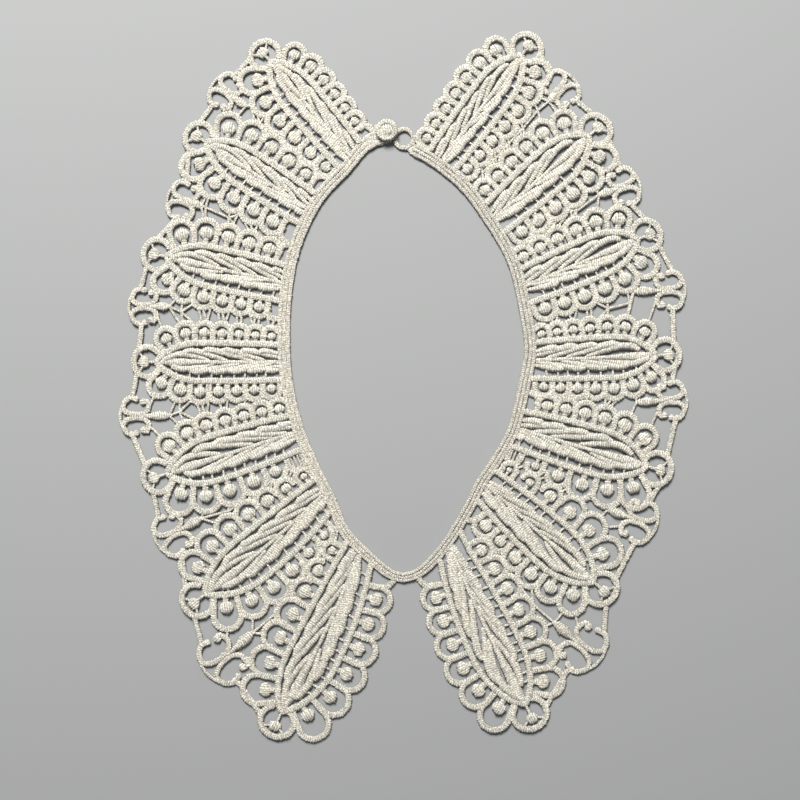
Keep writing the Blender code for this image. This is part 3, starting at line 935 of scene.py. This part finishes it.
def wall_cut(node, leaves, split, shift):
    """Plan area of a packed lace wall, m2, in the sectors of the leaves
    before split and of those from it on."""
    cut = {"back": 0.0, "front": 0.0}
    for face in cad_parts[node].data.polygons:
        if face.normal.z < 0.9:
            continue
        at = np.array(face.center[:2]) / MM - shift
        off = []
        for leaf in leaves:
            tip, along, across, length = leaf_frame(leaf)
            t = np.clip((at - tip) @ along, 0, length)
            off.append(np.hypot(*(at - tip - along * t)))
        cut["back" if int(np.argmin(off)) < split else "front"] += face.area
    return cut


def leaf_cut(leaf, side, neck):
    """Width, length and plan area of one leaf, cut off at the band, mm."""
    tip, along, across, length = leaf_frame(leaf)
    step, lanes = 0.5, np.linspace(-0.95, 0.95, 20)
    area, deep = 0.0, 0.0
    for far in np.arange(-1.5, 1.16 * length, step):
        s = min(max(far / length, 0.0), 1.0)
        half = leaf_half_width(leaf, s) + OUTLINE_W / 2
        spots = (tip + along * far
                 + across * (lanes[:, None] * half + leaf_bow(leaf, s, side)))
        clear = polygon_field(spots[:, 0], spots[:, 1], neck) > -0.9
        area += 2 * half * clear.mean() * step
        if clear.any():
            deep = far + 1.5
    return 2 * leaf["half"] + OUTLINE_W, deep, area


def main():
    lo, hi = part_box("button")
    shift = np.array([(lo.x + hi.x) / 2 / MM - BUTTON_AT[0],
                      (lo.y + hi.y) / 2 / MM - BUTTON_AT[1]])
    ground = cotton("cotton_ground", (0.93, 0.90, 0.79), (0.95, 0.895, 0.77))
    relief = cotton("cotton_relief", (0.95, 0.92, 0.81), (0.965, 0.91, 0.79))
    band_mat = cotton("cotton_band", (0.92, 0.885, 0.775),
                      (0.94, 0.88, 0.76))
    strip = Yarn()
    band_area = band_rows(strip)
    tab(strip)
    band = put("neckband_rows", strip, shift, band_mat, "neckband",
               "neckband")
    for word, side, leaf_table, volute_table, opens in (
            ("left", -1, LEAVES_LEFT, VOLUTES_LEFT,
             ("front",) * 7),
            ("right", 1, LEAVES_RIGHT, VOLUTES_RIGHT,
             ("front",) * 5 + ("back",) * 2)):
        leaves = rows(leaf_table, LEAF_COLUMNS)
        volutes = rows(volute_table, VOLUTE_COLUMNS)
        tips = [tip_loop(leaf) for leaf in leaves]
        rings = [{e: ring_list(leaf, side, e) for e in ("back", "front")}
                 for leaf in leaves]
        neck = band_polygon(NECK_LEFT if side < 0 else NECK_RIGHT, side)
        halves = {"back": Yarn(neck), "front": Yarn(neck)}
        part_rings(rings)
        motifs = []
        covered = {"back": 0.0, "front": 0.0}
        for n, leaf in enumerate(leaves):
            part = "back" if n < 4 else "front"
            yarn = halves[part]
            for e in ("back", "front"):
                for k, ring in enumerate(rings[n][e]):
                    draw_ring(yarn, ring, 0.04 + 0.05 * (k % 2))
                    if n == 4 and e == "front" and ring["last"]:
                        draw_bars(yarn, ring)
                    else:
                        draw_berry(yarn, ring)
            draw_tip(yarn, leaf)
            if n < len(volutes):
                bud, hooks, inward = draw_volute(yarn, volutes[n], tips)
                draw_net(yarn, rings[n]["front"], rings[n + 1]["back"], bud,
                         hooks, inward)
            motif = Yarn(neck)
            hand = side if opens[n] == "front" else -side
            draw_leaf(motif, leaf, side, hand)
            piece = put("leaf_%s_%d_yarn" % (word, n + 1), motif, shift,
                        relief, "leaf_relief", "leaf_%s_%d" % (word, n + 1))
            wide, deep, area = leaf_cut(leaf, side, neck)
            covered[part] += area
            motifs.append(piece)
        cut = wall_cut("lace_" + word, leaves, 4, shift)
        for part in ("back", "front"):
            piece = put("lace_%s_%s" % (word, part), halves[part], shift,
                        ground, "lace", "lace_" + word)
            area = cut[part]
            holds_band = part == "back" and side < 0
            lone = area - covered[part] * MM * MM
            if holds_band:
                lone += band_area * MM * MM
    knob, loop = fastening()
    button = put("button_embroidered", knob, shift, relief, "fastening",
                 "button")
    put("button_loop_stitched", loop, shift, band_mat, "fastening",
        "button_loop")


def studio():
    world = bpy.data.worlds.new("studio")
    bpy.context.scene.world = world
    world.use_nodes = True
    back = world.node_tree.nodes["Background"]
    back.inputs["Color"].default_value = (0.93, 0.96, 1.0, 1.0)
    back.inputs["Strength"].default_value = 0.18

    mesh = bpy.data.meshes.new("floor")
    mesh.from_pydata([(-3, -3, 0), (3, -3, 0), (3, 3, 0), (-3, 3, 0)], [],
                     [(0, 1, 2, 3)])
    floor = bpy.data.objects.new("floor", mesh)
    floor.location = (0, 0, -0.0002)
    bpy.context.scene.collection.objects.link(floor)
    mat = bpy.data.materials.new("floor_pale")
    mat.use_nodes = True
    shader = mat.node_tree.nodes["Principled BSDF"]
    shader.inputs["Roughness"].default_value = 0.85
    shader.inputs["Base Color"].default_value = FLOOR_TONE + (1.0,)
    mesh.materials.append(mat)

    def area(name, place, size, power, colour):
        lamp = bpy.data.lights.new(name, "AREA")
        lamp.size = size
        lamp.energy = power
        lamp.color = colour
        obj = bpy.data.objects.new(name, lamp)
        obj.location = place
        aim = Vector((0, 0, 0)) - Vector(place)
        obj.rotation_euler = aim.to_track_quat("-Z", "Y").to_euler()
        bpy.context.scene.collection.objects.link(obj)

    area("window", (-0.22, 0.92, 1.02), 0.48, 47.0, (1.0, 0.985, 0.95))
    area("fill", (0.5, -0.9, 1.4), 1.2, 1.5, (0.95, 0.97, 1.0))

    eye = bpy.data.cameras.new("camera")
    eye.lens = 50.0
    eye.sensor_width = 36.0
    eye.clip_start, eye.clip_end = 0.01, 20.0
    camera = bpy.data.objects.new("camera", eye)
    camera.location = (-0.00147, -0.00562, 0.336 * 50.0 / 36.0 + 0.001)
    bpy.context.scene.collection.objects.link(camera)
    bpy.context.scene.camera = camera
    bpy.context.scene.view_settings.view_transform = "Standard"


main()
studio()
